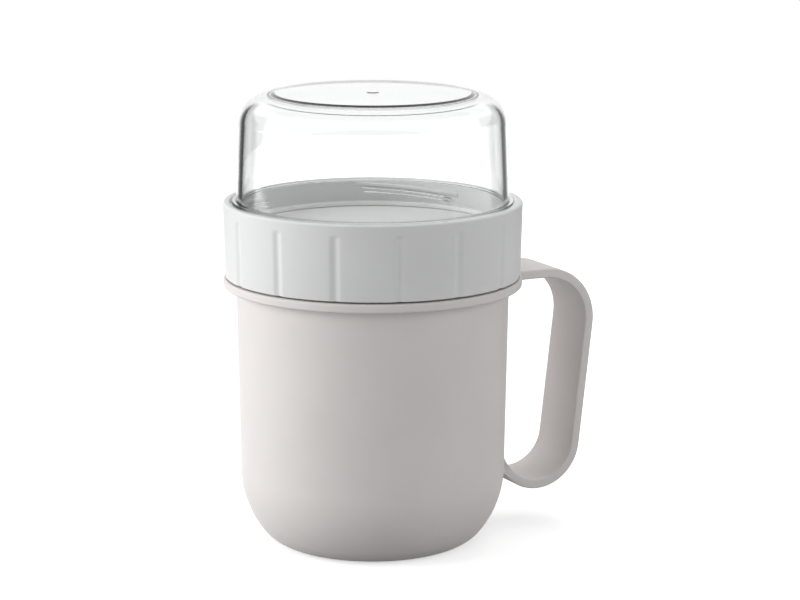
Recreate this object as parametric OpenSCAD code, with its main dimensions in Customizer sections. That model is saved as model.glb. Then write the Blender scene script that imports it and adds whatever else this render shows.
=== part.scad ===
// Soup mug for taking along: a mug with a strap handle, a white screw ring with a floor,
// and a clear upper cup that stands mouth down in the ring. Millimetres, +Z up.
// The origin is on the mug's axis in the plane that it rests on. The handle points along +X.

/* [Mug body] */
// Narrowing of the wall from the ledge down to the bottom corner
wall_taper = 1.2; // [0.5:0.1:3]
// Thickness of the wall and the floor
mug_wall = 2.4; // [1.6:0.1:3]
// Width of the bottom corner, from the flat under the mug out to the wall
corner_run = 19.5; // [17:0.5:22]
// Height at which the bottom corner runs into the wall
corner_height = 28; // [26:0.5:34]
// Radius of the bottom corner next to the flat
corner_low_radius = 15; // [12:0.5:16]
// Width of the ring that the mug stands on
foot_width = 7; // [3:0.5:12]
// Depth of the hollow inside the foot
foot_hollow = 0.7; // [0.4:0.1:1]
// Height of the ledge's upper face
ledge_top = 99.1; // [85:0.1:115]
// Distance that the ledge stands out past the ring's bottom edge
ledge_proud = 0.75; // [0.25:0.05:2]
// Thickness of the ledge at its edge
ledge_thickness = 3.3; // [3:0.1:5]
// Rounding of the ledge's edges
ledge_round = 0.8; // [0.4:0.1:1.2]

/* [Handle] */
// Width of the strap
strap_width = 25; // [18:0.5:30]
// Thickness of the strap at its ends
strap_thickness = 3.5; // [3.4:0.1:3.6]
// Thickness of the strap along the grip
grip_thickness = 3.4; // [2.8:0.1:3.4]
// Rounding of the strap's long edges
strap_round = 0.6; // [0.4:0.1:1.2]
// Drop of the strap's top face below the ledge's upper face
strap_drop = 0.9; // [0.4:0.1:1]
// Distance that the handle stands out past the ledge
handle_depth = 31.5; // [26:0.1:40]
// Lowest point of the handle
handle_low = 14.5; // [13:0.1:22]
// Outer radius of the upper bend
upper_bend = 20; // [14:0.5:24]
// Outer radius of the lower bend
lower_bend = 17.6; // [14:0.1:20]
// Lean of the grip toward the mug, downward, in degrees
grip_lean = 6.6; // [3:0.1:9]
// Upward slope with which the strap runs into the wall, in degrees
root_slope = 45; // [35:1:50]
// Length over which the strap's inner face turns up into the wall
root_inner_fillet = 5.8; // [2:0.2:6]
// Length over which the strap's sides turn into the wall
root_side_fillet = 5.4; // [2:0.2:6]
// Length over which the strap's outer face turns down into the wall
root_outer_fillet = 2.2; // [1:0.2:3]

/* [Screw ring] */
// Outer radius of the ring at its top edge, from which the other radii follow
ring_radius = 54.3; // [46:0.1:65]
// Narrowing of the ring from its top edge to its bottom edge
ring_taper = 0.7; // [0.2:0.1:1]
// Thickness of the wall at the bottom edge
ring_wall = 1.9; // [1.6:0.1:2.6]
// Height from the bottom edge to the top edge
ring_height = 27.2; // [26:0.1:34]
// Rounding of the top edge
ring_round = 0.8; // [0.4:0.1:1]
// Depth of the floor's upper face below the top edge
floor_depth = 10.1; // [10:0.1:11]
// Thickness of the floor
floor_thickness = 1.8; // [1.2:0.1:2]
// Number of upright grip grooves
groove_count = 15; // [8:1:24]
// Depth of a groove
groove_depth = 0.5; // [0.2:0.1:0.8]
// Radius of the hollow that a groove has in plan
groove_hollow = 2.5; // [2:0.1:4]
// Distance of a groove's upper end from the top edge
groove_stop = 3.5; // [3:0.5:8]
// Direction of the first groove when the ring is tight, in degrees
groove_phase = 14; // [0:1:23]

/* [Clear cup] */
// Narrowing of the wall from the lip up to the shoulder
cup_taper = 1.6; // [0.5:0.1:4]
// Thickness of the wall
cup_wall = 2; // [1.6:0.1:2.4]
// Rounding of the lip's edges
lip_round = 0.6; // [0.3:0.1:0.6]
// Thickness of the flange that covers the gap in the ring's mouth
flange_thickness = 0.9; // [0.6:0.1:1]
// Height of the flange's upper face above the ring's top edge
flange_rise = 0.4; // [0.3:0.1:0.8]
// Radius of the shoulder
shoulder_radius = 11; // [8:0.5:14]
// Height of the cup's top panel above the ring's top edge
cup_rise = 39.2; // [30:0.2:50]
// Width of the rim between the shoulder and the raised panel on top
panel_rim = 1.5; // [0.8:0.1:4]
// Height of the raised panel above the rim
panel_height = 0.7; // [0.4:0.1:1]
// Distance that the hollow under the panel reaches out past the panel's edge
panel_spread = 1.8; // [1:0.1:2]
// Radius of the moulding mark in the middle of the panel
gate_radius = 2; // [1:0.1:3]
// Height of the moulding mark
gate_height = 0.3; // [0.1:0.1:0.4]

/* [Screw ridges] */
// Room for the ridges between the ring's wall and the mug's neck
neck_room = 2.1; // [2:0.1:2.6]
// Room for the ridges between the ring's wall and the clear cup
cup_room = 1.8; // [1.7:0.1:2.4]
// Rise in one full turn
lead = 20; // [18:1:22]
// Number of ridges side by side round each screw
starts = 4; // [3:1:4]
// Turn that one ridge covers, in degrees
ridge_turn = 48; // [40:1:52]
// Turn over which a ridge runs out at each end, in degrees
ridge_fade = 9; // [5:1:12]
// Width of a ridge at its root
ridge_root = 2; // [1.6:0.1:2]
// Width of a ridge at its crest
ridge_crest = 1; // [0.7:0.1:1]
// Direction of the first ridge's lower end, in degrees
ridge_phase = 24; // [0:1:89]
// Height of the lower screw's outer ridges above the ledge, at their lower ends
neck_ridge_lift = 6; // [5.6:0.1:6.4]
// Height of the clear cup's ridges above its lip, at their lower ends
cup_ridge_lift = 1.7; // [1.7:0.1:1.9]

/* [Seals] */
// Thickness of each seal
seal_thickness = 1.2; // [1:0.1:1.3]
// Width of each seal
seal_width = 3; // [2.6:0.1:3.6]

/* [Fits] */
// Gap left between faces that rest on each other
seat_gap = 0.3; // [0.25:0.05:0.35]
// Gap between the ledge and the ring
ring_gap = 0.6; // [0.4:0.1:0.8]
// Gap between the crest of a ridge and the wall that faces it
crest_gap = 0.5; // [0.4:0.05:0.6]
// Gap along the screw between two ridges that bear on each other
flank_gap = 0.45; // [0.4:0.05:0.6]
// Gap between the clear cup's flange and the ring's wall
flange_gap = 0.5; // [0.4:0.05:0.8]
// Gap between the lower seal and the wall round it
seal_gap = 0.4; // [0.3:0.1:0.6]

/* [Hidden] */
$fn = 96;
// Depth by which one form is sunk into another that it is fused with
bite = 0.4;
// Length by which a cut runs past the face it opens
overrun = 1;
// Share of a ridge's height by which its ends dip into the wall
dip_share = 0.12;
// Steps along one ridge
ridge_steps = 14;
// Steps along each bend of the strap, along its lower root, and round each of its edges
bend_steps = 16;
root_steps = 8;
edge_steps = 3;

// Radii, from the ring inward and outward
ring_low_radius = ring_radius - ring_taper;
ring_bore = ring_low_radius - ring_wall;
ledge_radius = ring_low_radius + ledge_proud;
mug_rim_radius = ring_bore - neck_room;
mug_foot_radius = mug_rim_radius - wall_taper;
base_flat_radius = mug_foot_radius - corner_run;
cup_lip_radius = ring_bore - cup_room;
cup_shoulder_wall = cup_lip_radius - cup_taper;
panel_radius = cup_shoulder_wall - shoulder_radius - panel_rim;
flange_radius = ring_bore - flange_gap;
handle_reach = ledge_radius + handle_depth;
lower_seal_outer = ring_bore - seal_gap;
upper_seal_outer = cup_lip_radius;

// Heights of the stack
ring_bottom = ledge_top + ring_gap;
ring_top = ring_bottom + ring_height;
floor_top = ring_top - floor_depth;
floor_under = floor_top - floor_thickness;
lower_seal_z = floor_under - seat_gap - seal_thickness;
lip_top = lower_seal_z - seat_gap;
upper_seal_z = floor_top + seat_gap;
cup_lip = upper_seal_z + seal_thickness + seat_gap;
cup_top = ring_top + cup_rise;

// Bottom corner of the mug: a low arc and a high arc that share a tangent
corner_climb = corner_height - corner_low_radius;
corner_high_radius = (corner_run * corner_run + corner_climb * corner_climb
                      - corner_low_radius * corner_low_radius) / (2 * (corner_run - corner_low_radius));
low_centre = [base_flat_radius, corner_low_radius];
high_centre = [mug_foot_radius - corner_high_radius, corner_height];
corner_share_angle = atan2(low_centre[1] - high_centre[1], low_centre[0] - high_centre[0]);

// Handle path: centres of the two bends and the straight grip between them
upper_mid = upper_bend - strap_thickness / 2;
lower_mid = lower_bend - strap_thickness / 2;
strap_top = ledge_top - strap_drop;
upper_centre = [handle_reach - upper_bend, strap_top - upper_bend];
lower_centre_z = handle_low + lower_bend;
grip_length = (upper_centre[1] - lower_centre_z - (upper_mid - lower_mid) * sin(grip_lean)) / cos(grip_lean);
lower_centre = [upper_centre[0] + (upper_mid - lower_mid) * cos(grip_lean) - grip_length * sin(grip_lean),
                lower_centre_z];
strap_root = mug_rim_radius - mug_wall / 2;
strap_half = strap_thickness / 2;

// Lower root of the strap: a straight run from the bend to a place just inside the wall
root_start = lower_centre + polar(lower_mid, -90 - root_slope);
root_direction = -180 - root_slope;
root_ahead = [-cos(root_slope), 0, sin(root_slope)];
root_wall = wall_radius(root_start[1] + (root_start[0] - mug_foot_radius) * tan(root_slope)) - bite;

// Clear cup
flange_mid = ring_top + flange_rise - flange_thickness / 2;
rim_top = cup_top - panel_height;
rim_under = rim_top - cup_wall;
cup_shoulder_z = rim_top - shoulder_radius;
inner_shoulder = shoulder_radius - cup_wall;

// Screw ridges
male_crest = ring_bore - crest_gap;
neck_crest = mug_rim_radius + crest_gap;
cup_crest = cup_lip_radius + crest_gap;
ridge_apart = (ridge_root + ridge_crest) / 2 + flank_gap;

function polar(radius, angle) = [radius * cos(angle), radius * sin(angle)];

// Part of a disc between two directions less than half a turn apart
module sector(centre, radius, from, to) {
    far = 2 * radius;
    intersection() {
        translate(centre)
            circle(r = radius);
        polygon([
            centre,
            centre + polar(far, from),
            centre + polar(far, (from + to) / 2),
            centre + polar(far, to)
        ]);
    }
}

// Half section of the mug's wall and floor, drawn in from the outside by a given depth, up to a height
module mug_section(inset, top) {
    low = corner_low_radius - inset;
    high = corner_high_radius - inset;
    union() {
        polygon([
            [0, inset],
            [base_flat_radius, inset],
            low_centre + polar(low, corner_share_angle),
            [mug_foot_radius - inset, corner_height],
            [mug_rim_radius - inset, ledge_top - ledge_thickness],
            [mug_rim_radius - inset, top],
            [0, top]
        ]);
        sector(low_centre, low, -90, corner_share_angle);
        sector(high_centre, high, corner_share_angle, 0);
    }
}

// Half section of a flat ring with round corners on its outside
module ledge_section() {
    low = ledge_top - ledge_thickness;
    centre = ledge_radius - ledge_round;
    translate([strap_root, low])
        square([centre - strap_root, ledge_thickness]);
    translate([strap_root, low + ledge_round])
        square([ledge_radius - strap_root, ledge_thickness - 2 * ledge_round]);
    translate([centre, low + ledge_round])
        circle(r = ledge_round);
    translate([centre, ledge_top - ledge_round])
        circle(r = ledge_round);
}

// One screw ridge on a cylinder, from its root radius to its crest radius, run out at both ends
module ridge(root_radius, crest_radius, z, turn) {
    step = turn / ridge_steps;
    into = crest_radius > root_radius ? -bite : bite;
    height = crest_radius - root_radius;
    rings = [for (i = [0:ridge_steps])
        let (a = i * step,
             full = min(1, a / ridge_fade, (turn - a) / ridge_fade),
             mid = z + lead * a / 360,
             tip = root_radius + height * (full * (1 + dip_share) - dip_share))
        [[root_radius + into, mid - ridge_root / 2],
         [tip, mid - ridge_crest / 2],
         [tip, mid + ridge_crest / 2],
         [root_radius + into, mid + ridge_root / 2]]];
    points = [for (i = [0:ridge_steps]) for (p = rings[i])
        [p[0] * cos(i * step), p[0] * sin(i * step), p[1]]];
    sides = [for (i = [0:ridge_steps - 1]) for (j = [0:3])
        let (a = 4 * i + j, b = 4 * i + (j + 1) % 4)
        each [[a, b, b + 4], [a, b + 4, a + 4]]];
    last = 4 * ridge_steps;
    ends = [[2, 1, 0], [3, 2, 0], [last, last + 1, last + 2], [last, last + 2, last + 3]];
    faces = concat(sides, ends);
    polyhedron(points, into < 0 ? faces : [for (f = faces) [f[2], f[1], f[0]]]);
}

// All ridges of one screw
module ridges(root_radius, crest_radius, z) {
    for (i = [0:starts - 1])
        rotate([0, 0, ridge_phase + 360 * i / starts])
            ridge(root_radius, crest_radius, z, ridge_turn);
}

// Outer radius of the mug at a height above the lowest part of its bottom corner
function wall_radius(z) =
    let (below = min(0, z - corner_height))
    high_centre[0] + sqrt(corner_high_radius * corner_high_radius - below * below);

// Stations of the strap: place, direction, reach outward, reach inward and half width
function level_station(x) =
    [x, strap_top - strap_half, 0, strap_half, strap_half, strap_width / 2];
function bend_station(centre, radius, a, thin_share) =
    let (place = centre + polar(radius, a))
    [place[0], place[1], a - 90, strap_half,
     strap_half - thin_share * (strap_thickness - grip_thickness), strap_width / 2];
function strap_stations() = concat(
    [level_station(strap_root)],
    [for (i = [0:bend_steps])
        bend_station(upper_centre, upper_mid, 90 - (90 + grip_lean) * i / bend_steps, i / bend_steps)],
    [for (i = [0:bend_steps])
        bend_station(lower_centre, lower_mid, -grip_lean - (90 + root_slope - grip_lean) * i / bend_steps,
                     1 - i / bend_steps)]
);

// One edge point of the strap's outline: offsets across its thickness and along Y, round corners
function strap_edge(station, corner, a) =
    let (deep = corner == 0 || corner == 3 ? station[3] - strap_round : strap_round - station[4],
         flank = corner < 2 ? 1 : -1)
    [deep + strap_round * cos(a), flank * (station[5] - strap_round) + strap_round * sin(a)];
function strap_place(station, edge) =
    [station[0] - edge[0] * sin(station[2]), edge[1], station[1] + edge[0] * cos(station[2])];

// Point of the lower root: from the strap, past the place where it meets the wall, to the wall's face
function root_place(edge, across, along, t) =
    let (size = abs(along) * root_side_fillet
                + abs(across) * (across < 0 ? root_inner_fillet : root_outer_fillet),
         from = strap_place([root_start[0], root_start[1], root_direction], edge),
         run = (from[0] - sqrt(root_wall * root_wall - edge[1] * edge[1])) / cos(root_slope),
         met = from + run * root_ahead,
         y = edge[1] + along * size,
         z = met[2] - across * size,
         radius = wall_radius(z) - bite,
         landed = [sqrt(radius * radius - y * y), y, z])
    (1 - t) * (1 - t) * (met - size * root_ahead) + 2 * t * (1 - t) * met + t * t * landed;

// The handle: a level strap, the upper bend, the leaning grip and the lower bend that runs into the wall
module handle() {
    stations = strap_stations();
    count = 4 * (edge_steps + 1);
    corners = [for (corner = [0:3]) for (j = [0:edge_steps]) [corner, 90 * (corner + j / edge_steps)]];
    end = stations[len(stations) - 1];
    strap = [for (s = stations) each [for (c = corners) strap_place(s, strap_edge(s, c[0], c[1]))]];
    root = [for (i = [0:root_steps]) each [for (c = corners)
        root_place(strap_edge(end, c[0], c[1]), cos(c[1]), sin(c[1]), i / root_steps)]];
    rows = len(stations) + root_steps + 1;
    last = count * (rows - 1);
    sides = [for (i = [0:rows - 2]) for (j = [0:count - 1])
        let (a = count * i + j, b = count * i + (j + 1) % count)
        each [[a, b, b + count], [a, b + count, a + count]]];
    ends = [for (j = [1:count - 2]) each [[j + 1, j, 0], [last, last + j, last + j + 1]]];
    polyhedron(concat(strap, root), concat(sides, ends));
}

// Lower mug with its ledge, neck, screw ridges and handle, in one piece
module mug_body() {
    color([0.87, 0.84, 0.82])
        difference() {
            union() {
                rotate_extrude()
                    mug_section(0, lip_top - mug_wall / 2);
                rotate_extrude()
                    translate([mug_rim_radius - mug_wall / 2, lip_top - mug_wall / 2])
                        circle(r = mug_wall / 2);
                rotate_extrude()
                    ledge_section();
                handle();
                ridges(mug_rim_radius, male_crest, ledge_top + neck_ridge_lift);
            }
            rotate_extrude()
                mug_section(mug_wall, lip_top + overrun);
            translate([0, 0, -overrun])
                cylinder(r = base_flat_radius - foot_width, h = foot_hollow + overrun);
        }
}

// Soft seal between the mug's lip and the ring's floor
module lower_seal() {
    color([0.93, 0.93, 0.92])
        translate([0, 0, lower_seal_z])
            difference() {
                cylinder(r = lower_seal_outer, h = seal_thickness);
                translate([0, 0, -overrun])
                    cylinder(r = lower_seal_outer - seal_width, h = seal_thickness + 2 * overrun);
            }
}

// Half section of the screw ring's wall and floor
module ring_section() {
    round_z = ring_top - ring_round;
    polygon([
        [ring_bore, ring_bottom],
        [ring_low_radius, ring_bottom],
        [ring_radius, round_z],
        [ring_bore, round_z]
    ]);
    translate([ring_bore + ring_round, round_z])
        square([ring_radius - ring_bore - 2 * ring_round, ring_round]);
    translate([ring_radius - ring_round, round_z])
        circle(r = ring_round);
    translate([ring_bore + ring_round, round_z])
        circle(r = ring_round);
    translate([0, floor_under])
        square([ring_bore + bite, floor_thickness]);
}

// Grip grooves: shallow hollows that lean with the wall and end round at the top
module grooves() {
    lean = atan2(ring_radius - ring_low_radius, ring_height);
    length = ring_height - groove_stop - groove_hollow;
    for (i = [0:groove_count - 1])
        rotate([0, 0, groove_phase + 360 * i / groove_count])
            translate([ring_low_radius + groove_hollow - groove_depth, 0, ring_bottom])
                rotate([0, lean, 0]) {
                    translate([0, 0, -overrun])
                        cylinder(r = groove_hollow, h = length + overrun);
                    translate([0, 0, length])
                        sphere(r = groove_hollow);
                }
}

// White screw ring with its floor, grip grooves and two sets of inner ridges
module screw_ring() {
    color([0.92, 0.93, 0.93])
        union() {
            difference() {
                rotate_extrude()
                    ring_section();
                grooves();
            }
            ridges(ring_bore, neck_crest, ledge_top + neck_ridge_lift - ridge_apart);
            ridges(ring_bore, cup_crest, cup_lip + cup_ridge_lift + ridge_apart);
        }
}

// Soft seal between the clear cup's lip and the ring's floor, narrow enough to pass the ring's ridges
module upper_seal() {
    color([0.93, 0.93, 0.92])
        translate([0, 0, upper_seal_z])
            difference() {
                cylinder(r = upper_seal_outer, h = seal_thickness);
                translate([0, 0, -overrun])
                    cylinder(r = upper_seal_outer - seal_width, h = seal_thickness + 2 * overrun);
            }
}

// Half section of the clear cup's outside, with the flange and its round edge
module cup_outside() {
    lip = cup_lip + lip_round;
    edge = flange_thickness / 2;
    centre = [cup_shoulder_wall - shoulder_radius, cup_shoulder_z];
    union() {
        polygon([
            [0, lip],
            [cup_lip_radius, lip],
            [cup_shoulder_wall, cup_shoulder_z],
            [centre[0], rim_top],
            [panel_radius, rim_top],
            [panel_radius, cup_top],
            [0, cup_top]
        ]);
        sector(centre, shoulder_radius, 0, 90);
    }
    translate([cup_lip_radius - lip_round, lip])
        circle(r = lip_round);
    translate([cup_lip_radius - cup_wall + lip_round, lip])
        circle(r = lip_round);
    translate([cup_lip_radius - cup_wall + lip_round, cup_lip])
        square([cup_wall - 2 * lip_round, lip_round]);
    translate([cup_shoulder_wall, flange_mid - edge])
        square([flange_radius - edge - cup_shoulder_wall, flange_thickness]);
    translate([flange_radius - edge, flange_mid])
        circle(r = edge);
}

// Half section of the clear cup's inside, with the hollow under the raised panel
module cup_inside() {
    lip = cup_lip + lip_round;
    wall = cup_shoulder_wall - cup_wall;
    centre = [wall - inner_shoulder, cup_shoulder_z];
    union() {
        polygon([
            [0, lip],
            [cup_lip_radius - cup_wall, lip],
            [wall, cup_shoulder_z],
            [centre[0], rim_under],
            [0, rim_under]
        ]);
        sector(centre, inner_shoulder, 0, 90);
        translate([0, rim_under - bite])
            square([panel_radius + panel_spread, panel_height + bite]);
    }
}

// Clear upper cup, mouth down, with its ridges, flange, raised panel and moulding mark
module clear_cup() {
    color([0.86, 0.89, 0.9, 0.35])
        union() {
            difference() {
                rotate_extrude()
                    cup_outside();
                rotate_extrude()
                    cup_inside();
            }
            translate([0, 0, cup_top - bite])
                cylinder(r = gate_radius, h = gate_height + bite);
            ridges(cup_lip_radius, male_crest, cup_lip + cup_ridge_lift);
        }
}

mug_body();
lower_seal();
screw_ring();
upper_seal();
clear_cup();
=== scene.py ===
"""Soup mug to take along: mug with a strap handle, screw ring, clear upper cup and two seals.

The classes hold their sizes in millimetres, and a mesh is made in metres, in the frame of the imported
solids: +Z up, the origin on the mug's axis in the plane that it rests on, the handle along +X.
"""

import logging
from dataclasses import dataclass, field
from enum import Enum

import bpy
import numpy as np
from mathutils import Matrix


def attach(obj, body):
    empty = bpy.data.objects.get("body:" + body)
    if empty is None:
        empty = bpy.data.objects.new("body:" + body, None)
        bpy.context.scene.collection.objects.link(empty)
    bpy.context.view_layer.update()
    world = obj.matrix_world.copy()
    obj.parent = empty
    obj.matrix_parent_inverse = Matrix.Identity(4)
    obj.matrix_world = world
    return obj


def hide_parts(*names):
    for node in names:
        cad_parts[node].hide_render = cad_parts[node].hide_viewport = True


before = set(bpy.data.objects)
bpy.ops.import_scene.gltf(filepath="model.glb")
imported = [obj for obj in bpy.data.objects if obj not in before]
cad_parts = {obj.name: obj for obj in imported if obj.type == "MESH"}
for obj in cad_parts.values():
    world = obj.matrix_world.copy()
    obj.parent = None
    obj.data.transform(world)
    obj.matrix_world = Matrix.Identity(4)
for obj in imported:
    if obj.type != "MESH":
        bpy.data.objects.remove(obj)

LOG = logging.getLogger("soup_mug")
MM = 0.001
ON_AXIS = 1e-6
WHITE = (1, 1, 1, 1)
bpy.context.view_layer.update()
Array = np.ndarray
Socket = bpy.types.NodeSocket
Triple = tuple[float, float, float]


class Body(Enum):
    """Rigid bodies that the pieces ride on."""

    MUG = "mug"
    LOWER_SEAL = "lower_seal"
    RING = "ring"
    UPPER_SEAL = "upper_seal"
    CUP = "cup"


class Slot(Enum):
    """Material slots of the record."""

    MUG = "mug_plastic"
    RING = "ring_plastic"
    CLEAR = "clear_plastic"
    SEAL = "seal_rubber"


class Maths(Enum):
    """Operations of a math node."""

    LARGER = "MAXIMUM"
    BELOW = "LESS_THAN"
    TIMES = "MULTIPLY"


# Surfaces


@dataclass(frozen=True)
class Rounding:
    """Radii of a line's inner corners, and the distance of the guard points from each arc."""

    radii: tuple[float, ...]
    guard: float = 0.25


@dataclass
class Surface:
    """A mesh as arrays: points in millimetres, and faces of four and of three corners."""

    points: Array
    quads: Array
    triangles: Array = field(default_factory=lambda: np.zeros((0, 3), int))

    def joined(self, *others: "Surface") -> "Surface":
        """Puts more surfaces beside this one.

        Args:
            others: surfaces to add, whose face indices shift past the points before them.

        Returns:
            One surface that holds all of them.
        """
        made = self
        for other in others:
            shift = len(made.points)
            made = Surface(
                np.concatenate([made.points, other.points]),
                np.concatenate([made.quads, other.quads + shift]),
                np.concatenate([made.triangles, other.triangles + shift]),
            )
        return made

    def make_object(self, name: str) -> bpy.types.Object:
        """Makes a smooth-shaded Blender object in metres, at the origin.

        Args:
            name: name of the object and of its mesh.

        Returns:
            The new object, linked into the scene.
        """
        mesh = bpy.data.meshes.new(name)
        faces = self.quads.tolist() + self.triangles.tolist()
        mesh.from_pydata(self.points * MM, [], faces, shade_flat=False)
        mesh.validate()
        made = bpy.data.objects.new(name, mesh)
        bpy.context.scene.collection.objects.link(made)
        return made


def polar(radius: float, degrees: Array | float) -> Array:
    """Points at a radius and at directions in degrees, as an array whose last axis holds two numbers."""
    a = np.radians(degrees)
    return np.stack([radius * np.cos(a), radius * np.sin(a)], -1)


def arc(centre: tuple[float, float], radius: float, start: float, stop: float, count: int) -> Array:
    """Evenly spaced points between two directions in degrees: centre plus radius times cosine and sine."""
    return np.asarray(centre) + polar(radius, np.linspace(start, stop, count))


def soft_corners(corners: list, rounding: Rounding, steps: int = 6) -> Array:
    """Rounds every inner corner of an open line with an arc that touches both of its sides.

    Each corner is cut back by radius times the tangent of half the turn. The arc's points are the
    corner's centre plus the radius times the side's normal turned in even steps. A guard point on each
    side keeps the smooth shading of the flats flat.

    Args:
        corners: corners of the line, ends included, each a radius and a height.
        rounding: radii of the inner corners, above zero, and the distance of the guard points.
        steps: intervals of each arc.

    Returns:
        The rounded line, with its two ends as they were.
    """
    points, radii = np.asarray(corners, float), np.asarray(rounding.radii)
    before = points[1:-1] - points[:-2]
    after = points[2:] - points[1:-1]
    before = before / np.linalg.norm(before, axis=1, keepdims=True)
    after = after / np.linalg.norm(after, axis=1, keepdims=True)
    cross = before[:, 0] * after[:, 1] - before[:, 1] * after[:, 0]
    turn = np.arctan2(cross, (before * after).sum(1))
    cut = radii * np.tan(np.abs(turn) / 2)
    normal = np.stack([-before[:, 1], before[:, 0]], 1) * np.sign(turn)[:, None]
    first = points[1:-1] - before * cut[:, None]
    centre = first + normal * radii[:, None]
    angle = turn[:, None] * np.linspace(0, 1, steps + 1)
    spoke = -normal[:, None, :] * radii[:, None, None]
    turned_x = spoke[..., 0] * np.cos(angle) - spoke[..., 1] * np.sin(angle)
    turned_y = spoke[..., 0] * np.sin(angle) + spoke[..., 1] * np.cos(angle)
    bows = centre[:, None, :] + np.stack([turned_x, turned_y], -1)
    lead_in = bows[:, :1] - rounding.guard * before[:, None, :]
    lead_out = bows[:, -1:] + rounding.guard * after[:, None, :]
    rounded = np.concatenate([lead_in, bows, lead_out], 1).reshape(-1, 2)
    return np.concatenate([points[:1], rounded, points[-1:]])


def smooth_step(value: Array) -> Array:
    """Eases a value from 0 to 1 with level ends: 3 v squared minus 2 v cubed, held outside."""
    v = np.clip(value, 0, 1)
    return v * v * (3 - 2 * v)


def revolve(profile: Array, columns: int, swell: Array | None = None) -> Surface:
    """Turns a half section about Z: each point's radius, plus its swell, times cosine and sine.

    A profile that starts and ends on the axis gets one point at each pole. Any other profile is closed
    from its last point back to its first. The outer wall runs upward, so that faces point outwards.

    Args:
        profile: radius and height of each point, n by 2.
        columns: number of directions in the full turn.
        swell: optional growth of the radius, n by columns.

    Returns:
        The closed surface.
    """
    around = np.linspace(0, 2 * np.pi, columns, endpoint=False)
    poles = profile[0, 0] < ON_AXIS and profile[-1, 0] < ON_AXIS
    grown = np.zeros((len(profile), columns)) if swell is None else swell
    rows, grown = (profile[1:-1], grown[1:-1]) if poles else (profile, grown)
    radius = rows[:, :1] + grown
    height = np.broadcast_to(rows[:, 1:], radius.shape)
    points = np.stack([radius * np.cos(around), radius * np.sin(around), height], -1).reshape(-1, 3)
    count = len(rows)
    low = np.arange(count - 1) if poles else np.arange(count)
    lower = low[:, None] * columns
    upper = ((low + 1) % count)[:, None] * columns
    this = np.arange(columns)
    following = (this + 1) % columns
    corners = [lower + this, lower + following, upper + following, upper + this]
    quads = np.stack(corners, -1).reshape(-1, 4)
    if not poles:
        return Surface(points, quads)
    last = (count - 1) * columns
    tips = np.array([[0, 0, profile[0, 1]], [0, 0, profile[-1, 1]]])
    first_tip = np.full(columns, count * columns)
    start_fan = np.stack([first_tip, following, this], 1)
    end_fan = np.stack([last + this, last + following, first_tip + 1], 1)
    return Surface(np.concatenate([points, tips]), quads, np.concatenate([start_fan, end_fan]))


def tube(rings: Array) -> Surface:
    """Skins rings of points and closes both ends with a middle point.

    Args:
        rings: array of stations by ring points by 3. Seen along the path, they turn counter-clockwise.

    Returns:
        The closed surface.
    """
    stations, count = rings.shape[:2]
    here = np.arange(stations - 1)[:, None] * count
    this = np.arange(count)
    following = (this + 1) % count
    corners = [here + this, here + count + this, here + count + following, here + following]
    quads = np.stack(corners, -1).reshape(-1, 4)
    last = (stations - 1) * count
    tips = np.stack([rings[0].mean(0), rings[-1].mean(0)])
    first_tip = np.full(count, stations * count)
    start_fan = np.stack([first_tip, this, following], 1)
    end_fan = np.stack([first_tip + 1, last + following, last + this], 1)
    points = np.concatenate([rings.reshape(-1, 3), tips])
    return Surface(points, quads, np.concatenate([start_fan, end_fan]))


@dataclass(frozen=True)
class Screw:
    """Helical ridges: each rises with the turn by lead and fades into its wall at both ends."""

    lead: float = 20.0
    starts: int = 4
    turn: float = 48.0
    fade: float = 9.0
    root: float = 2.0
    crest: float = 1.0
    phase: float = 24.0
    bury: float = 0.3
    stations: int = 46
    rise_shares: tuple[float, ...] = (0.0, 0.08, 0.86, 1.0, 1.0, 0.86, 0.08, 0.0)
    across_shares: tuple[float, ...] = (-0.5, -0.46, -0.28, -0.2, 0.2, 0.28, 0.46, 0.5)

    def bars(self, wall: float, tip: float, z: float) -> Surface:
        """Ridges as closed bars: a soft trapezium carried along each helix.

        The section's radius goes from the wall to the tip times the fade, and its height is the helix
        height plus the trapezium's. The section's two ends are buried below the wall's face.

        Args:
            wall: radius of the wall that carries the ridges.
            tip: radius of the crest, larger than the wall's outside and smaller inside.
            z: height of the lower ends' middle.

        Returns:
            All ridges of the screw.
        """
        a = np.linspace(0, self.turn, self.stations)
        full = smooth_step(np.minimum(a, self.turn - a) / self.fade)
        sign = np.sign(tip - wall)
        rise = abs(tip - wall) * np.array(self.rise_shares) * full[:, None]
        rise[:, [0, -1]] = -self.bury
        radius = wall + sign * rise
        height = z + self.lead * a[:, None] / 360 + self.root * np.array(self.across_shares)
        if sign < 0:
            radius, height = radius[:, ::-1], height[:, ::-1]
        bars = []
        for start in range(self.starts):
            w = np.radians(self.phase + 360 * start / self.starts + a)[:, None]
            bars.append(tube(np.stack([radius * np.cos(w), radius * np.sin(w), height], -1)))
        return bars[0].joined(*bars[1:])

    def relief(self, height: Array, columns: int, z: float, reach: float) -> Array:
        """Ridges as a growth of a wall's radius, for a wall that stays one skin.

        At each height and direction the distance to the nearest ridge's middle line gives a soft
        trapezium, which is 1 within half the crest and 0 beyond half the root, times the fade.

        Args:
            height: heights of the wall's rows.
            columns: number of directions in the full turn.
            z: height of the lower ends' middle.
            reach: height of the crest above the wall.

        Returns:
            Growth of the radius, rows by columns.
        """
        a = (np.arange(columns) * 360 / columns - self.phase) % (360 / self.starts)
        full = smooth_step(np.minimum(a, self.turn - a) / self.fade)
        middle = z + self.lead * a / 360
        away = np.abs(height[:, None] - middle[None, :])
        slope = (self.root / 2 - away) / (self.root / 2 - self.crest / 2)
        return reach * smooth_step(slope) * full[None, :]


# Finishes


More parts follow.
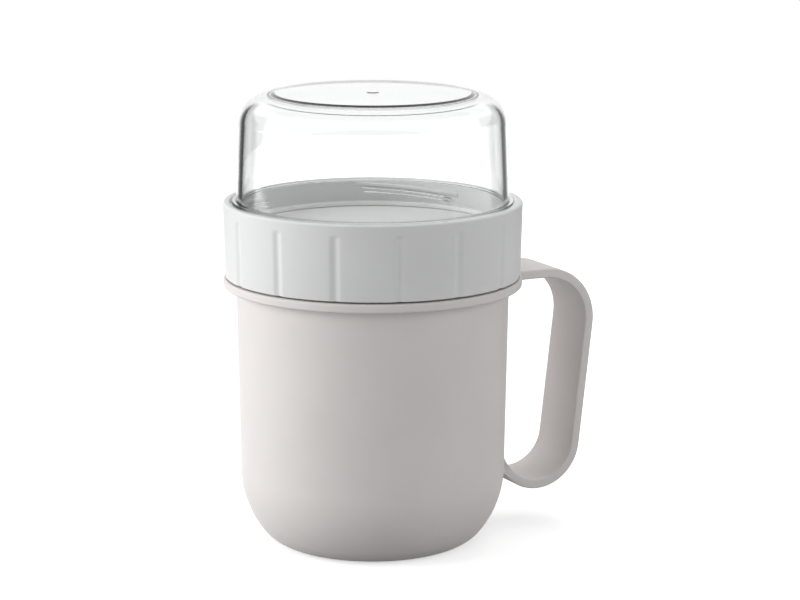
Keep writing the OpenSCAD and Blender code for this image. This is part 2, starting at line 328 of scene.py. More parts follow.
class NodeBoard:
    """Adds shader nodes to a material or a world and links them."""

    NOISE_SPAN = (0.3, 0.7)
    TINT_SPAN = (0.35, 0.65)
    GRAIN_ROUGHNESS = 0.55
    FIRST_BOUNCE = 0.5

    def __init__(self, owner: bpy.types.ID, output: str = "OutputMaterial") -> None:
        """Clears the owner's node tree and starts it with an output.

        Args:
            owner: material or world.
            output: type of its output node, without the prefix ShaderNode.
        """
        owner.use_nodes = True
        self.tree = owner.node_tree
        self.tree.nodes.clear()
        self.output = self.add(output)

    def add(self, kind: str, *first: object, **named: object) -> bpy.types.Node:
        """Adds a node and fills its inputs: an output is linked, and any other value is set.

        Args:
            kind: node type without the prefix ShaderNode.
            first: outputs or values of the first inputs, in order.
            named: outputs or values by name, with underscores for the spaces of the names.

        Returns:
            The new node.
        """
        node = self.tree.nodes.new("ShaderNode" + kind)
        spaced = {name.replace("_", " "): value for name, value in named.items()}
        for key, value in [*enumerate(first), *spaced.items()]:
            if isinstance(value, Socket):
                self.tree.links.new(value, node.inputs[key])
            else:
                node.inputs[key].default_value = value
        return node

    def show(self, shader: Socket) -> None:
        """Links a shader to the output."""
        self.tree.links.new(shader, self.output.inputs["Surface"])

    def noise(self, size_mm: float, detail: float, stretch: Triple = (1, 1, 1)) -> Socket:
        """Noise on Object coordinates with grains of a given size.

        Args:
            size_mm: size of one grain in millimetres.
            detail: number of finer octaves.
            stretch: scale of the coordinates along each axis.

        Returns:
            The noise's value output.
        """
        where = self.add("TexCoord").outputs["Object"]
        place = self.add("Mapping", Vector=where, Scale=stretch).outputs["Vector"]
        scale, rough = 1 / (size_mm * MM), self.GRAIN_ROUGHNESS
        return self.add("TexNoise", Vector=place, Scale=scale, Detail=detail, Roughness=rough).outputs[0]

    def ranged(self, source: Socket, low: float, high: float) -> Socket:
        """Maps the middle of a noise's values to a range.

        Args:
            source: value output.
            low: result at the lower end of the noise's span.
            high: result at its upper end.

        Returns:
            The mapped value output.
        """
        start, stop = self.NOISE_SPAN
        span = self.add("MapRange", Value=source, From_Min=start, From_Max=stop, To_Min=low, To_Max=high)
        return span.outputs["Result"]

    def tinted(self, source: Socket, first: Triple, second: Triple) -> Socket:
        """Blends two colours by a value.

        Args:
            source: value output.
            first: colour at the lower end of the tint's span.
            second: colour at its upper end.

        Returns:
            The colour output.
        """
        ramp = self.add("ValToRGB", Fac=source)
        for stop, place, colour in zip(ramp.color_ramp.elements, self.TINT_SPAN, (first, second)):
            stop.position = place
            stop.color = (*colour, 1)
        return ramp.outputs["Color"]

    def bump(self, source: Socket, depth_mm: float) -> Socket:
        """Normal output of a bump, from its height output and its depth in millimetres."""
        return self.add("Bump", Strength=1.0, Distance=depth_mm * MM, Height=source).outputs["Normal"]

    def math(self, operation: Maths, first: Socket, second: Socket | float) -> Socket:
        """Combines two values.

        Args:
            operation: what is done with them.
            first: value output.
            second: value output or number.

        Returns:
            The value output.
        """
        node = self.add("Math", first, second)
        node.operation = operation.value
        return node.outputs[0]

    def mixed(self, share: Socket, first: Socket, second: Socket) -> Socket:
        """Blends two shaders: a share of 0 gives the first, and 1 the second."""
        return self.add("MixShader", share, first, second).outputs[0]

    def looked_at(self) -> Socket:
        """Value that is 1 for rays from the camera, also through gloss or glass, and 0 after a matte face.

        Returns:
            The value output.
        """
        ray = self.add("LightPath").outputs
        seen = self.math(Maths.LARGER, ray["Is Camera Ray"], ray["Is Glossy Ray"])
        seen = self.math(Maths.LARGER, seen, ray["Is Transmission Ray"])
        direct = self.math(Maths.BELOW, ray["Diffuse Depth"], self.FIRST_BOUNCE)
        return self.math(Maths.TIMES, seen, direct)


@dataclass(frozen=True)
class MouldedFinish:
    """Opaque moulded plastic or rubber: two close shades in soft clouds, fine grain, uneven gloss."""

    name: str
    light: Triple
    dark: Triple
    cloud_mm: float
    grain_mm: float
    grain_depth_mm: float
    gloss: tuple[float, float]
    gloss_share: float = 0.25
    specular: float = 0.5
    scatter: float = 0.0
    scatter_mm: float = 2.0
    scatter_tint: Triple = (1.0, 0.9, 0.8)

    def make(self) -> bpy.types.Material:
        """Makes the material: clouds tint it, grain bumps it, and slow noise varies its roughness.

        Returns:
            The new material.
        """
        material = bpy.data.materials.new(self.name)
        board = NodeBoard(material)
        clouds = board.noise(self.cloud_mm, detail=3)
        sheen = board.noise(self.cloud_mm * self.gloss_share, detail=4)
        grain = board.noise(self.grain_mm, detail=2)
        shader = board.add(
            "BsdfPrincipled",
            Base_Color=board.tinted(clouds, self.dark, self.light),
            Roughness=board.ranged(sheen, *self.gloss),
            Normal=board.bump(grain, self.grain_depth_mm),
            Specular_IOR_Level=self.specular,
            Subsurface_Weight=self.scatter,
            Subsurface_Radius=self.scatter_tint,
            Subsurface_Scale=self.scatter_mm * MM,
        )
        board.show(shader.outputs["BSDF"])
        return material


@dataclass(frozen=True)
class ClearFinish:
    """Clear polished plastic: light passes through, with a faint flow in the surface."""

    name: str
    colour: Triple
    index: float
    flow_mm: float
    flow_stretch: Triple
    flow_depth_mm: float
    gloss_mm: float
    gloss: tuple[float, float]

    def make(self) -> bpy.types.Material:
        """Makes the material: full transmission, slow waves as bump, and a trace of uneven gloss.

        Returns:
            The new material.
        """
        material = bpy.data.materials.new(self.name)
        board = NodeBoard(material)
        flow = board.noise(self.flow_mm, detail=1, stretch=self.flow_stretch)
        sheen = board.noise(self.gloss_mm, detail=3)
        shader = board.add(
            "BsdfPrincipled",
            Base_Color=(*self.colour, 1),
            Roughness=board.ranged(sheen, *self.gloss),
            Normal=board.bump(flow, self.flow_depth_mm),
            IOR=self.index,
            Transmission_Weight=1.0,
        )
        board.show(shader.outputs["BSDF"])
        return material


WARM_WHITE = MouldedFinish(
    name="warm_white_matte",
    light=(0.747, 0.712, 0.697),
    dark=(0.724, 0.689, 0.674),
    cloud_mm=26.0,
    grain_mm=0.5,
    grain_depth_mm=0.02,
    gloss=(0.50, 0.58),
    specular=0.4,
)
COOL_WHITE = MouldedFinish(
    name="cool_white_satin",
    light=(0.738, 0.741, 0.744),
    dark=(0.718, 0.721, 0.724),
    cloud_mm=22.0,
    grain_mm=0.7,
    grain_depth_mm=0.008,
    gloss=(0.38, 0.46),
    specular=0.35,
)
SEAL_WHITE = MouldedFinish(
    name="seal_white",
    light=(0.80, 0.80, 0.79),
    dark=(0.76, 0.76, 0.75),
    cloud_mm=12.0,
    grain_mm=0.4,
    grain_depth_mm=0.01,
    gloss=(0.45, 0.58),
    scatter=0.3,
)
CLEAR = ClearFinish(
    name="clear_plastic",
    colour=(0.985, 0.992, 0.990),
    index=1.52,
    flow_mm=30.0,
    flow_stretch=(1, 1, 0.4),
    flow_depth_mm=0.012,
    gloss_mm=9.0,
    gloss=(0.0, 0.015),
)


# Pieces


def dress(piece: bpy.types.Object, finish: bpy.types.Material, body: Body, node: str) -> None:
    """Gives a piece its finish and its body, and hides the solid that it stands for.

    Args:
        piece: the new object.
        finish: its material.
        body: body that it moves with.
        node: solid that it replaces.
    """
    piece.data.materials.append(finish)
    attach(piece, body.value)
    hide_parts(node)


@dataclass
class MugBody:
    """Mug with its ledge, neck, screw ridges and handle."""

    rim: float = 49.6  # outer radius of the neck and of the wall's top
    wall: float = 2.4
    wall_rows: int = 14
    wall_rounding: Rounding = Rounding((0.7, 0.9, 0.8, 0.5, 1.1, 1.1, 8.0))
    foot: float = 48.4  # outer radius above the bottom corner
    foot_width: float = 7.0
    foot_hollow: float = 0.7
    foot_slope: float = 0.5
    foot_rounding: Rounding = Rounding((0.5, 0.3))
    corner_height: float = 28.0
    corner_low: float = 15.0
    corner_run: float = 19.5
    corner_guard: float = 1.0  # straight run beside the corner
    corner_rows: tuple[int, int] = (16, 18)
    ledge_top: float = 99.1
    ledge_thickness: float = 3.3
    ledge_radius: float = 54.34
    lip_top: float = 113.2
    ridge_tip: float = 51.2
    ridge_lift: float = 6.0
    strap_width: float = 25.0
    strap_thickness: float = 3.5
    strap_round: float = 0.6
    strap_drop: float = 0.9
    strap_start: float = 1.0
    strap_guard: float = 0.3
    strap_rows: tuple[int, int, int, int] = (14, 34, 12, 44)  # level run, upper bend, grip, lower bend
    edge_rows: int = 7
    grip_thickness: float = 3.4
    reach: float = 85.85  # farthest X of the handle
    low: float = 14.5  # its lowest height
    upper_bend: float = 20.0
    lower_bend: float = 17.6
    lean: float = 6.6
    root_slope: float = 45.0
    root_inner: float = 5.8  # fillets toward the inner face, the sides and the outer face
    root_side: float = 5.4
    root_outer: float = 2.2
    root_search: float = 16.0
    root_halvings: int = 40
    root_rows: int = 16
    root_overrun: float = 1.04  # end of the fillet's curve, below the wall's face
    root_skin: float = 0.03
    root_sink: float = 1.2
    columns: int = 256
    screw: Screw = field(default_factory=Screw)

    def corner(self, inset: float) -> Array:
        """Bottom corner as two arcs that share a tangent, drawn in by an inset.

        The high arc's radius follows from the corner's width and height and the low arc's radius.

        Args:
            inset: distance from the outside.

        Returns:
            Points from the flat up to the wall, inset from the outside.
        """
        climb = self.corner_height - self.corner_low
        spread = self.corner_run**2 + climb**2 - self.corner_low**2
        high = spread / (2 * (self.corner_run - self.corner_low))
        low_centre = (self.foot - self.corner_run, self.corner_low)
        high_centre = (self.foot - high, self.corner_height)
        meet = np.degrees(np.arctan2(low_centre[1] - high_centre[1], low_centre[0] - high_centre[0]))
        lower = arc(low_centre, self.corner_low - inset, -90, meet, self.corner_rows[0])
        upper = arc(high_centre, high - inset, meet, 0, self.corner_rows[1])
        return np.concatenate([lower, upper[1:]])

    def profile(self) -> Array:
        """Half section: foot, outer wall, ledge, neck, lip, inner wall and floor.

        Returns:
            Points from the lower pole to the upper one.
        """
        flat = self.foot - self.corner_run
        hollow = flat - self.foot_width
        base_line = [
            [0, self.foot_hollow],
            [hollow, self.foot_hollow],
            [hollow + self.foot_slope, 0],
            [flat - self.corner_guard, 0],
        ]
        ledge_low = self.ledge_top - self.ledge_thickness
        wall_low = self.corner_height + self.corner_guard
        inner = self.rim - self.wall
        wall_line = [
            [self.foot, wall_low],
            [self.rim, ledge_low],
            [self.ledge_radius, ledge_low],
            [self.ledge_radius, self.ledge_top],
            [self.rim, self.ledge_top],
            [self.rim, self.lip_top],
            [inner, self.lip_top],
            [inner, self.ledge_top],
            [self.foot - self.wall, wall_low],
        ]
        base = soft_corners(base_line, self.foot_rounding)
        walls = soft_corners(wall_line, self.wall_rounding)
        rise = np.linspace(0, 1, self.wall_rows)[1:-1, None]
        climbing = walls[0] + (walls[1] - walls[0]) * rise
        bottom = self.corner(self.wall)[::-1]
        return np.concatenate([base, self.corner(0), climbing, walls[1:-1], bottom, [[0, self.wall]]])

    def wall_radius(self, height: Array) -> Array:
        """Outer radius of the wall at given heights, from the bottom corner and the straight taper."""
        line = np.concatenate([self.corner(0), [[self.rim, self.ledge_top - self.ledge_thickness]]])
        return np.interp(height, line[:, 1], line[:, 0])

    def path(self) -> tuple[Array, Array, Array]:
        """Middle line of the strap: a level run, two bends, the leaning grip and a slanted root.

        Returns:
            Places in XZ, directions in degrees, and the share of the grip's thinness at each station.
        """
        half = self.strap_thickness / 2
        top = self.ledge_top - self.strap_drop
        upper_mid, lower_mid = self.upper_bend - half, self.lower_bend - half
        upper = np.array([self.reach - self.upper_bend, top - self.upper_bend])
        lean = np.radians(self.lean)
        drop = upper[1] - self.low - self.lower_bend
        length = (drop - (upper_mid - lower_mid) * np.sin(lean)) / np.cos(lean)
        lower_x = upper[0] + (upper_mid - lower_mid) * np.cos(lean) - length * np.sin(lean)
        lower = np.array([lower_x, self.low + self.lower_bend])
        level_rows, upper_rows, grip_rows, lower_rows = self.strap_rows
        run = np.linspace(self.ledge_radius - self.strap_start, upper[0] - self.strap_guard, level_rows)
        level_x = np.concatenate([[self.rim - self.wall / 2], run])
        level = np.stack([level_x, np.full_like(level_x, top - half)], 1)
        first = np.linspace(90, -self.lean, upper_rows)
        second = np.linspace(-self.lean, -90 - self.root_slope, lower_rows)
        bend_one = upper + polar(upper_mid, first)
        bend_two = lower + polar(lower_mid, second)
        between = np.linspace(0, 1, grip_rows)[1:-1, None]
        grip = bend_one[-1] + (bend_two[0] - bend_one[-1]) * between
        places = np.concatenate([level, bend_one, grip, bend_two])
        still, steady = np.zeros(len(level)), np.ones(len(grip))
        directions = np.concatenate([still, first - 90, steady * (-self.lean - 90), second - 90])
        thinning, thickening = np.linspace(0, 1, upper_rows), np.linspace(1, 0, lower_rows)
        return places, directions, np.concatenate([still, thinning, steady, thickening])

    def section(self, inward: Array) -> tuple[Array, Array, Array]:
        """Rounded outline of the strap at each station, and the outline's outward normal.

        Each corner is a quarter circle, so a point is the corner's centre plus the rounding times
        cosine and sine of a direction, first across the strap and then along its width.

        Args:
            inward: reach of the inner face from the middle line, one value a station.

        Returns:
            Offsets across the strap and along Y, stations by points, and the normals, points by 2.
        """
        quarter = np.linspace(0, 90, self.edge_rows)
        turn = np.radians(np.concatenate([quarter, quarter + 90, quarter + 180, quarter + 270]))
        corner = np.repeat(np.arange(4), len(quarter))
        outer = np.isin(corner, (0, 3))
        flank = np.where(corner < 2, 1.0, -1.0)
        outward = self.strap_thickness / 2 - self.strap_round
        reach = np.where(outer, outward, self.strap_round - inward[:, None])
        across = reach + self.strap_round * np.cos(turn)
        along = flank * (self.strap_width / 2 - self.strap_round) + self.strap_round * np.sin(turn)
        return across, np.broadcast_to(along, across.shape), np.stack([np.cos(turn), np.sin(turn)], 1)

    def root(self, start: Array, normal: Array) -> Array:
        """Lower root: each outline point runs straight to the wall and turns there into its face.

        The place where it strikes the wall is found by halving. The turn is a quadratic curve from the
        strap, through that place, to a place on the wall's face. Its size is the share of the outline's
        normal along Y times the side fillet, plus the share across the strap times the inner or the
        outer fillet.

        Args:
            start: last outline of the bend, points by 3.
            normal: the outline's normals, across the strap and along Y.

        Returns:
            Outlines of the root, stations by points by 3, the last one inside the wall.
        """
        slope = np.radians(self.root_slope)
        ahead = np.array([-np.cos(slope), 0, np.sin(slope)])
        low, high = np.zeros(len(start)), np.full(len(start), self.root_search)
        for _ in range(self.root_halvings):
            middle = (low + high) / 2
            there = start + middle[:, None] * ahead
            outside = np.hypot(there[:, 0], there[:, 1]) > self.wall_radius(there[:, 2])
            low, high = np.where(outside, middle, low), np.where(outside, high, middle)
        struck = start + low[:, None] * ahead
        over = np.where(normal[:, 0] < 0, self.root_inner, self.root_outer)
        size = np.abs(normal[:, 1]) * self.root_side + np.abs(normal[:, 0]) * over
        y = struck[:, 1] + normal[:, 1] * size
        z = struck[:, 2] - normal[:, 0] * size
        radius = self.wall_radius(z) - self.root_skin
        landed = np.stack([np.sqrt(radius**2 - y**2), y, z], 1)
        t = np.append(np.linspace(0, 1, self.root_rows), self.root_overrun)[:, None, None]
        leaving = struck - size[:, None] * ahead
        curve = (1 - t) ** 2 * leaving + 2 * t * (1 - t) * struck + t**2 * landed
        sunk = curve[-1:] - np.array([self.root_sink, 0, 0])
        return np.concatenate([curve, sunk])

    def handle(self) -> Surface:
        """Handle: the outline carried along the middle line, with the lower root at its end.

        Returns:
            The closed handle, with both ends inside the mug.
        """
        places, directions, thin = self.path()
        inward = self.strap_thickness / 2 - thin * (self.strap_thickness - self.grip_thickness)
        across, along, normal = self.section(inward)
        a = np.radians(directions)[:, None]
        x = places[:, :1] - across * np.sin(a)
        z = places[:, 1:] + across * np.cos(a)
        rings = np.stack([x, along, z], -1)
        return tube(np.concatenate([rings, self.root(rings[-1], normal)]))

    def build(self, finish: bpy.types.Material) -> bpy.types.Object:
        """Makes the mug: revolved shell, screw ridges and handle in one object, and dresses it.

        Args:
            finish: material of the mug.

        Returns:
            The new object.
        """
        shell = revolve(self.profile(), self.columns)
        ridges = self.screw.bars(self.rim, self.ridge_tip, self.ledge_top + self.ridge_lift)
        piece = shell.joined(ridges, self.handle()).make_object("mug_with_handle")
        dress(piece, finish, Body.MUG, "mug_body")
        return piece


@dataclass
class ScrewRing:
    """White ring with a floor, grip grooves outside and two sets of screw ridges inside."""

    low_radius: float = 53.6
    top_radius: float = 54.3
    bore: float = 51.7
    bottom: float = 99.7
    top: float = 126.9
    floor_top: float = 116.8
    floor_under: float = 115.0
    rounding: Rounding = Rounding((0.6, 0.3, 0.35, 0.8, 0.7, 0.6))
    slack: float = 0.01  # tolerance in finding the wall's lower end
    coarse_rows: int = 8
    coarse_share: float = 0.80  # share of the wall's height
    fine_rows: int = 14
    fine_share: float = 0.82
    groove_count: int = 15
    groove_depth: float = 0.5
    groove_half: float = 2.3
    groove_stop: float = 3.5  # distance from the ring's top
    groove_ease: float = 1.6
    groove_phase: float = 14.0
    grooved_wall: float = 0.45  # depth within which a row takes the grooves
    plain_rim: float = 1.0
    low_ridge_tip: float = 50.1
    high_ridge_tip: float = 50.4
    low_ridge_z: float = 103.15
    high_ridge_z: float = 122.25
    columns: int = 720
    screw: Screw = field(default_factory=Screw)

    def profile(self) -> Array:
        """Half section from the floor's underside round the wall to the floor's upper face.

        The outer wall gets rows of its own, close together where the grooves end.

        Returns:
            Points from the lower pole to the upper one.
        """
        outline = [
            [0, self.floor_under],
            [self.bore, self.floor_under],
            [self.bore, self.bottom],
            [self.low_radius, self.bottom],
            [self.top_radius, self.top],
            [self.bore, self.top],
            [self.bore, self.floor_top],
            [0, self.floor_top],
        ]
        soft = soft_corners(outline, self.rounding)
        low_half = soft[:, 1] < (self.bottom + self.top) / 2
        first = np.flatnonzero(low_half & (soft[:, 0] > self.low_radius - self.slack))[-1]
        coarse = np.linspace(0, self.coarse_share, self.coarse_rows)[1:]
        fine = np.linspace(self.fine_share, 1, self.fine_rows)[:-1]
        rise = np.concatenate([coarse, fine])[:, None]
        wall = soft[first] + (soft[first + 1] - soft[first]) * rise
        return np.concatenate([soft[: first + 1], wall, soft[first + 1 :]])

    def grooves(self, profile: Array) -> Array:
        """Inward swell of the outer wall: a raised cosine across each groove, easing out at its top.

        Args:
            profile: half section of the ring.

        Returns:
            Growth of the radius, rows by columns, never above zero.
        """
        step = 360 / self.groove_count
        turn = np.arange(self.columns) * 360 / self.columns - self.groove_phase
        away = (turn + step / 2) % step - step / 2
        share = np.clip(np.radians(away) * self.top_radius / self.groove_half, -1, 1)
        across = 0.5 * (1 + np.cos(np.pi * share))
        radius, height = profile.T
        ending = smooth_step((self.top - self.groove_stop - height) / self.groove_ease)
        outer = (radius > self.low_radius - self.grooved_wall) & (height < self.top - self.plain_rim)
        return -self.groove_depth * (ending * outer)[:, None] * across[None, :]

    def build(self, finish: bpy.types.Material) -> bpy.types.Object:
        """Makes the ring: grooved shell and inner ridges in one object, and dresses it.

        Args:
            finish: material of the ring.

        Returns:
            The new object.
        """
        profile = self.profile()
        shell = revolve(profile, self.columns, self.grooves(profile))
        lower = self.screw.bars(self.bore, self.low_ridge_tip, self.low_ridge_z)
        upper = self.screw.bars(self.bore, self.high_ridge_tip, self.high_ridge_z)
        piece = shell.joined(lower, upper).make_object("grooved_screw_ring")
        dress(piece, finish, Body.RING, "screw_ring")
        return piece


@dataclass
class ClearCup:
    """Clear cup, mouth down, with a flange, a soft shoulder, a raised panel and a moulding mark."""

    lip_radius: float = 49.9
    lip: float = 118.6  # height
    lip_rounding: Rounding = Rounding((0.6, 0.6), guard=0.1)
    wall: float = 2.0
    top: float = 166.05
    shoulder: float = 11.0
    shoulder_wall: float = 48.3
    shoulder_rows: tuple[int, int] = (20, 26)
    flange: float = 51.2
    flange_low: float = 126.4
    flange_high: float = 127.3
    flange_rounding: Rounding = Rounding((0.2, 0.4, 0.4, 0.3), guard=0.04)
    panel: float = 35.5
    panel_wall: float = 1.4
    panel_draft: float = 1.1
    panel_height: float = 0.5
    panel_spread: float = 2.0
    panel_edge: float = 3.0
    panel_rows: int = 8
    hollow_draft: float = 0.3
    hollow_rounding: Rounding = Rounding((0.4, 0.2), guard=0.08)
    gate: float = 2.0  # radius of the moulding mark
    gate_draft: float = 0.15
    gate_height: float = 0.22
    summit_rounding: Rounding = Rounding((0.8, 0.8, 0.1, 0.12), guard=0.05)
    ridge_tip: float = 51.2
    ridge_lift: float = 1.7
    ridge_band: tuple[float, float] = (0.85, 6.6)  # heights above the lip with close rows
    ridge_step: float = 0.18
    columns: int = 480
    screw: Screw = field(default_factory=Screw)

    @property
    def rim_top(self) -> float:
        """Height of the shoulder's highest line, at the foot of the panel."""
        return self.top - self.panel_height

    @property
    def shoulder_z(self) -> float:
        """Height at which the wall turns into the shoulder."""
        return self.rim_top - self.shoulder

    def wall_radius(self, height: Array | float) -> Array | float:
        """Outer radius of the straight wall at a height, between the lip's radius and the shoulder's."""
        slope = (self.shoulder_wall - self.lip_radius) / (self.shoulder_z - self.lip)
        return self.lip_radius + slope * (height - self.lip)

    def inside(self) -> Array:
        """Inner face of the top: the ceiling under the panel, its step and the inner shoulder.

        Returns:
            Points from the pole to the end of the shoulder.
        """
        ceiling = self.top - self.panel_wall
        radius = self.shoulder - self.wall
        centre = self.shoulder_wall - self.wall - radius
        hollow = self.panel + self.panel_spread
        foot = np.degrees(np.arccos((hollow + self.hollow_draft - centre) / radius))
        bow = arc((centre, self.shoulder_z), radius, foot, 0, self.shoulder_rows[0])
        step = soft_corners([[0, ceiling], [hollow, ceiling], bow[0], bow[1]], self.hollow_rounding)
        flat = np.linspace(0, self.panel - self.panel_edge, self.panel_rows)
        level = np.stack([flat, np.full_like(flat, ceiling)], 1)
        return np.concatenate([level, step[1:-1], bow[1:]])

    def outside(self) -> Array:
        """Lip, band of the ridges in close rows, flange, outer shoulder, panel and moulding mark.

        Returns:
            Points from the inner wall round the lip and up to the pole.
        """
        z, rim_top = self.shoulder_z, self.rim_top
        lip_line = [
            [self.shoulder_wall - self.wall, z],
            [self.lip_radius - self.wall, self.lip],
            [self.lip_radius, self.lip],
            [self.shoulder_wall, z],
        ]
        band_low, band_high = self.ridge_band
        fine = np.arange(self.lip + band_low, self.lip + band_high, self.ridge_step)
        band = np.stack([self.wall_radius(fine), fine], 1)
        flange_line = [
            band[-1],
            [self.wall_radius(self.flange_low), self.flange_low],
            [self.flange, self.flange_low],
            [self.flange, self.flange_high],
            [self.wall_radius(self.flange_high), self.flange_high],
            [self.shoulder_wall, z],
        ]
        centre = (self.shoulder_wall - self.shoulder, z)
        bow = arc(centre, self.shoulder, 0, 90, self.shoulder_rows[1])
        mark_top = self.top + self.gate_height
        summit_line = [
            bow[-2],
            [self.panel + self.panel_draft, rim_top],
            [self.panel, self.top],
            [self.gate + self.gate_draft, self.top],
            [self.gate, mark_top],
            [0, mark_top],
        ]
        lip = soft_corners(lip_line, self.lip_rounding)
        flange = soft_corners(flange_line, self.flange_rounding)
        summit = soft_corners(summit_line, self.summit_rounding)
        return np.concatenate([lip[1:-1], band, flange[1:-1], bow[:-2], summit])

    def build(self, finish: bpy.types.Material) -> bpy.types.Object:
        """Makes the cup as one skin, its ridges a relief of the outer wall, and dresses it.

        It throws no shadow, because light through its thin walls would otherwise be lost inside it.

        Args:
            finish: material of the cup.

        Returns:
            The new object.
        """
        profile = np.concatenate([self.inside(), self.outside()])
        z = self.lip + self.ridge_lift
        relief = self.screw.relief(profile[:, 1], self.columns, z, self.ridge_tip - self.lip_radius)
        outer = np.arange(len(profile)) > int(np.argmin(profile[:, 1]))
        piece = revolve(profile, self.columns, relief * outer[:, None]).make_object("clear_upper_cup")
        piece.visible_shadow = False
        dress(piece, finish, Body.CUP, "clear_cup")
        return piece


@dataclass
class SealRing:
    """Flat soft seal with rounded edges."""

    name: str
    node: str
    body: Body
    low: float
    outer: float = 51.3
    width: float = 3.0
    thickness: float = 1.6
    rounding: Rounding = Rounding((0.35,) * 4, guard=0.05)
    columns: int = 192

    def build(self, finish: bpy.types.Material) -> bpy.types.Object:
        """Makes the seal: a rounded rectangle turned about Z, and dresses it.

        Args:
            finish: material of the seal.

        Returns:
            The new object.
        """
        inner, high = self.outer - self.width, self.low + self.thickness
        middle = (inner + self.outer) / 2
        outline = [
            [middle, self.low],
            [self.outer, self.low],
            [self.outer, high],
            [inner, high],
            [inner, self.low],
            [middle, self.low],
        ]
        section = soft_corners(outline, self.rounding)[:-1]
        piece = revolve(section, self.columns).make_object(self.name)
        dress(piece, finish, self.body, self.node)
        return piece


# Studio


@dataclass(frozen=True)
class Lamp:
    """Soft rectangular lamp, placed in the camera's frame: right, away and up, in metres."""

    name: str
    place: Triple
    size: tuple[float, float]
    power: float
    aim: Triple = (0, 0, 0.08)


@dataclass(frozen=True)
class DarkCard:
    """Upright dark card behind the object, which clear edges and gloss show and the camera does not."""

    name: str
    near: float  # across: where the shade begins, where it is full, and the far edge
    full: float
    far: float
    shade: float
    away: float = 0.45
    height: float = 0.35
    rows: int = 17


def pose(axes: list[Array], place: Array) -> Matrix:
    """Pose of an object from its three axes and its place.

    Args:
        axes: directions of its X, Y and Z.
        place: its origin.

    Returns:
        The matrix.
    """
    made = np.eye(4)
    made[:3, :3] = np.stack(axes, 1)
    made[:3, 3] = place
    return Matrix(made.tolist())


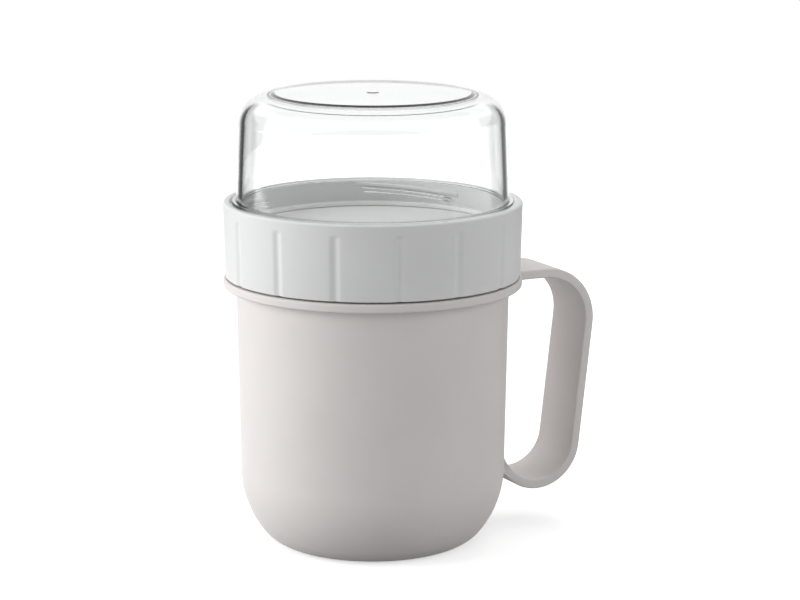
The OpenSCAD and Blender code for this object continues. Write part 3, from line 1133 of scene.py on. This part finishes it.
@dataclass
class Studio:
    """Camera, white surroundings, pale floor, lamps and dark cards, in metres."""

    turn: float = 25.9  # degrees
    distance: float = 1.05
    height: float = 0.3031
    pitch: float = 0.20033  # radians, as yaw and roll
    yaw: float = 0.00947
    roll: float = 0.0026
    focal_px: float = 2939.0
    frame_px: int = 800
    sensor_mm: float = 36.0
    clip: tuple[float, float] = (0.05, 50.0)
    surround: float = 0.25
    floor_half: float = 1.0
    floor_drop: float = 0.0001
    floor_shade: float = 0.86
    floor_glow: float = 0.53
    floor_bounce: float = 0.37
    lamps: tuple[Lamp, ...] = (
        Lamp("left_lamp", (-1.09, -0.05, 0.30), (1.2, 0.8), 15.6),
        Lamp("right_lamp", (1.1, -0.28, 0.35), (0.6, 0.8), 3.4),
        Lamp("front_lamp", (0.15, -1.3, 0.5), (1.2, 0.8), 3.3),
        Lamp("top_lamp", (0.0, 0.4, 1.2), (1.0, 1.0), 7.2),
    )
    cards: tuple[DarkCard, ...] = (
        DarkCard("left_card", -0.165, -0.24, -0.9, 0.09),
        DarkCard("right_card", 0.165, 0.245, 0.9, 0.18),
    )

    def in_part_frame(self, point: Array | Triple) -> Array:
        """Turns a point or direction from the camera's frame into the part's frame, about Z.

        Args:
            point: three numbers: right, away and up.

        Returns:
            The same point along X, Y and Z.
        """
        a = np.radians(self.turn)
        x, y, z = point
        return np.array([x * np.cos(a) + y * np.sin(a), y * np.cos(a) - x * np.sin(a), z])

    def add_camera(self) -> None:
        """Makes the camera: a look direction from pitch and yaw, rolled about itself, with no shift."""
        level = np.cos(self.pitch)
        ahead = np.array([np.sin(self.yaw) * level, np.cos(self.yaw) * level, -np.sin(self.pitch)])
        side = np.array([np.cos(self.yaw), -np.sin(self.yaw), 0])
        above = np.cross(side, ahead)
        right = np.cos(self.roll) * side + np.sin(self.roll) * above
        up = np.cos(self.roll) * above - np.sin(self.roll) * side
        axes = [self.in_part_frame(axis) for axis in (right, up, -ahead)]
        data = bpy.data.cameras.new("photo_camera")
        data.sensor_width = self.sensor_mm
        data.lens = self.focal_px * self.sensor_mm / self.frame_px
        data.clip_start, data.clip_end = self.clip
        camera = bpy.data.objects.new("photo_camera", data)
        camera.matrix_world = pose(axes, self.in_part_frame((0, -self.distance, self.height)))
        bpy.context.scene.collection.objects.link(camera)
        bpy.context.scene.camera = camera

    def add_surround(self) -> None:
        """Makes the world: white where it is looked at, also through gloss and glass, else a soft fill."""
        world = bpy.data.worlds.new("white_surround")
        bpy.context.scene.world = world
        board = NodeBoard(world, "OutputWorld")
        fill = board.add("Background", Color=WHITE, Strength=self.surround)
        seen = board.add("Background", Color=WHITE, Strength=1.0)
        board.show(board.mixed(board.looked_at(), fill.outputs[0], seen.outputs[0]))

    def add_floor(self) -> None:
        """Makes the pale floor, which glows where it is looked at and keeps the shadow."""
        half, drop = self.floor_half, -self.floor_drop
        corners = [[-half, -half, drop], [half, -half, drop], [half, half, drop], [-half, half, drop]]
        floor = Surface(np.array(corners) / MM, np.array([[0, 1, 2, 3]])).make_object("pale_floor")
        material = bpy.data.materials.new("pale_floor")
        board = NodeBoard(material)
        pale = board.add("BsdfDiffuse", Color=(*[self.floor_shade] * 3, 1), Roughness=1.0)
        glow = board.add("Emission", Strength=self.floor_glow)
        bounce = board.add("BsdfDiffuse", Color=(*[self.floor_bounce] * 3, 1), Roughness=1.0)
        both = board.add("AddShader", pale.outputs[0], glow.outputs[0])
        board.show(board.mixed(board.looked_at(), bounce.outputs[0], both.outputs[0]))
        floor.data.materials.append(material)

    def add_lamps(self) -> None:
        """Makes the soft lamps, each turned to its aim.

        Gloss and glass don't show them. Their light is sampled from the lamps alone, without multiple
        importance sampling, whose other half would be lost where it reaches a matte face through glass.
        """
        for lamp in self.lamps:
            data = bpy.data.lights.new(lamp.name, "AREA")
            data.shape = "RECTANGLE"
            data.size, data.size_y = lamp.size
            data.energy = lamp.power
            data.cycles.use_multiple_importance_sampling = False
            made = bpy.data.objects.new(lamp.name, data)
            place = self.in_part_frame(lamp.place)
            back = place - self.in_part_frame(lamp.aim)
            back /= np.linalg.norm(back)
            side = np.cross([0, 0, 1.0], back)
            side /= np.linalg.norm(side)
            made.matrix_world = pose([side, np.cross(back, side), back], place)
            made.visible_camera = made.visible_glossy = made.visible_transmission = False
            bpy.context.scene.collection.objects.link(made)

    def add_cards(self) -> None:
        """Makes the dark cards: each fades in across its width, and casts no shadow."""
        for card in self.cards:
            across = np.append(np.linspace(card.near, card.full, card.rows), card.far)
            fade = smooth_step((across - card.near) / (card.full - card.near))
            base = np.stack([self.in_part_frame((x, card.away, 0.0)) for x in across])
            points = np.concatenate([base, base + np.array([0, 0, card.height])]) / MM
            this = np.arange(len(across) - 1)
            over = this + len(across)
            made = Surface(points, np.stack([this, this + 1, over + 1, over], 1)).make_object(card.name)
            shade = made.data.attributes.new("fade", "FLOAT", "POINT")
            shade.data.foreach_set("value", np.concatenate([fade, fade]).astype(np.float32))
            material = bpy.data.materials.new(card.name)
            board = NodeBoard(material)
            amount = board.add("Attribute")
            amount.attribute_name = "fade"
            shown = board.math(Maths.TIMES, amount.outputs["Fac"], board.looked_at())
            open_part = board.add("BsdfTransparent")
            dark_part = board.add("Emission", Strength=card.shade)
            board.show(board.mixed(shown, open_part.outputs[0], dark_part.outputs[0]))
            made.data.materials.append(material)
            made.visible_camera = made.visible_diffuse = made.visible_shadow = False

    def build(self) -> None:
        """Makes the studio and sets the view transform."""
        bpy.context.scene.view_settings.view_transform = "Standard"
        self.add_camera()
        self.add_surround()
        self.add_floor()
        self.add_lamps()
        self.add_cards()


def main() -> None:
    """Builds the pieces in order, reports each one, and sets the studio."""
    logging.basicConfig(level=logging.INFO, format="%(message)s")
    warm, cool = WARM_WHITE.make(), COOL_WHITE.make()
    seal, clear = SEAL_WHITE.make(), CLEAR.make()
    pieces = [
        MugBody().build(warm),
        SealRing("lower_seal_ring", "lower_seal", Body.LOWER_SEAL, low=113.3).build(seal),
        ScrewRing().build(cool),
        SealRing("upper_seal_ring", "upper_seal", Body.UPPER_SEAL, low=116.9, outer=49.9).build(seal),
        ClearCup().build(clear),
    ]
    for piece in pieces:
        LOG.info("%s: %d faces, %s", piece.name, len(piece.data.polygons), piece.active_material.name)
    Studio().build()


if __name__ == "__main__":
    main()
